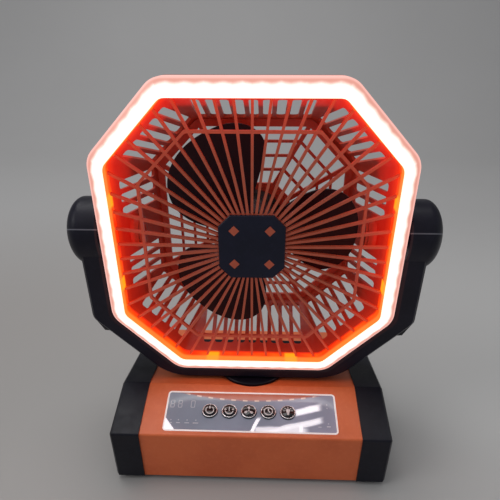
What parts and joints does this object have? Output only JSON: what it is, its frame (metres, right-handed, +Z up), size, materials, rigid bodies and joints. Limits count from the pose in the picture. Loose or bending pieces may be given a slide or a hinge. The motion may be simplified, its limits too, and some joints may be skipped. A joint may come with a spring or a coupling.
{
  "type": "portable camping fan",
  "caption": "Portable fan with an eight-sided head, a ring light around its grille, a U-shaped yoke and a battery base with a sloped control panel.",
  "frame": {"origin": "on the table, at the middle of the base's footprint, on the swing axis", "axes": "+X to the right, +Y to the back, +Z up; the head and the control panel face -Y"},
  "size_m": [0.2826, 0.156, 0.2982],
  "materials": {
    "orange_plastic": "satin moulded plastic",
    "dark_plastic": "satin moulded plastic",
    "cover_plastic": "fine texture",
    "bumper_plastic": "matt",
    "foot_rubber": "matt",
    "flap_rubber": "matt",
    "steel": "zinc plated",
    "panel_rim": "polished",
    "panel_gloss": "mirror gloss",
    "button_gloss": "mirror gloss",
    "circuit_board": "solder mask",
    "switch_plastic": "matt",
    "display_glass": "gloss",
    "battery_cell": "wrapped cell",
    "tray_plastic": "matt",
    "socket_metal": "plated",
    "bearing_plastic": "low friction plastic",
    "motor_steel": "plated",
    "light_lens": "milky diffuser",
    "led_board": "white board",
    "led": "light source",
    "badge_plastic": "satin gloss",
    "coil_copper": "enamelled wire",
    "magnet": "ferrite",
    "blade_plastic": "satin gloss"
  },
  "bodies": {
    "base": {"base_housing": "orange_plastic", "end_cap_left": "dark_plastic", "end_cap_right": "dark_plastic", "base_bottom_cover": "cover_plastic", "base_screws": "steel", "rubber_feet": "foot_rubber", "panel_frame": "panel_rim", "panel_lens": "panel_gloss", "control_board": "circuit_board", "tact_switches": "switch_plastic", "display_module": "display_glass", "board_screws": "steel", "battery_cells": "battery_cell", "battery_tray": "tray_plastic", "power_board": "circuit_board", "usb_a_socket": "socket_metal", "usb_c_socket": "socket_metal", "swivel_bush": "bearing_plastic", "swing_motor": "motor_steel", "swing_motor_screws": "steel"},
    "power_key": {"power_button": "button_gloss"},
    "swing_key": {"swing_button": "button_gloss"},
    "fan_speed_key": {"fan_speed_button": "button_gloss"},
    "timer_key": {"timer_button": "button_gloss"},
    "light_key": {"light_button": "button_gloss"},
    "port_flap": {"port_cover": "flap_rubber"},
    "pinion": {"swing_pinion": "bearing_plastic"},
    "yoke": {"yoke_front_shell": "dark_plastic", "yoke_rear_shell": "dark_plastic", "drum_cap_left": "dark_plastic", "drum_cap_right": "dark_plastic", "yoke_screws": "steel", "corner_bumpers": "bumper_plastic", "swivel_disc": "dark_plastic", "swivel_screws": "steel", "swing_gear": "bearing_plastic", "swivel_nut": "bearing_plastic", "tilt_bushes": "bearing_plastic", "tilt_washers": "bearing_plastic"},
    "head": {"rear_housing": "orange_plastic", "front_grille": "orange_plastic", "light_lens": "light_lens", "led_strips": "led_board", "led_chips": "led", "hub_badge": "badge_plastic", "head_screws": "steel", "trunnion_left": "orange_plastic", "trunnion_right": "orange_plastic", "trunnion_clips": "steel", "motor_can": "motor_steel", "motor_bearings": "motor_steel", "motor_coils": "coil_copper", "motor_screws": "steel"},
    "rotor": {"impeller": "blade_plastic", "motor_shaft": "steel", "motor_magnet": "magnet", "impeller_nut": "blade_plastic"}
  },
  "joints": [
    {"name": "swing", "type": "hinge", "parent": "base", "child": "yoke", "pos_m": [0, 0, 0.06], "axis": [0, 0, 1], "range_deg": [-45, 45]},
    {"name": "tilt", "type": "hinge", "parent": "yoke", "child": "head", "pos_m": [0, 0, 0.189], "axis": [1, 0, 0], "range_deg": [-180, 90]},
    {"name": "fan_spin", "type": "hinge", "parent": "head", "child": "rotor", "pos_m": [0, 0, 0.189], "axis": [0, 1, 0], "continuous": true},
    {"name": "port_flap_hinge", "type": "hinge", "parent": "base", "child": "port_flap", "pos_m": [0, 0.07615, 0.018], "axis": [-1, 0, 0], "range_deg": [0, 100]},
    {"name": "pinion_spin", "type": "hinge", "parent": "base", "child": "pinion", "pos_m": [0, 0.026, 0.047], "axis": [0, 0, 1], "range_deg": [-150, 150]},
    {"name": "power_press", "type": "slide", "parent": "base", "child": "power_key", "axis": [0, 0.2722, -0.9622], "range_m": [0, 0.0008], "stiffness_N_per_m": 1200},
    {"name": "swing_press", "type": "slide", "parent": "base", "child": "swing_key", "axis": [0, 0.2722, -0.9622], "range_m": [0, 0.0008], "stiffness_N_per_m": 1200},
    {"name": "fan_speed_press", "type": "slide", "parent": "base", "child": "fan_speed_key", "axis": [0, 0.2722, -0.9622], "range_m": [0, 0.0008], "stiffness_N_per_m": 1200},
    {"name": "timer_press", "type": "slide", "parent": "base", "child": "timer_key", "axis": [0, 0.2722, -0.9622], "range_m": [0, 0.0008], "stiffness_N_per_m": 1200},
    {"name": "light_press", "type": "slide", "parent": "base", "child": "light_key", "axis": [0, 0.2722, -0.9622], "range_m": [0, 0.0008], "stiffness_N_per_m": 1200}
  ],
  "couplings": [
    {"joint": "pinion_spin", "follows": "swing", "ratio": -3.3333}
  ]
}
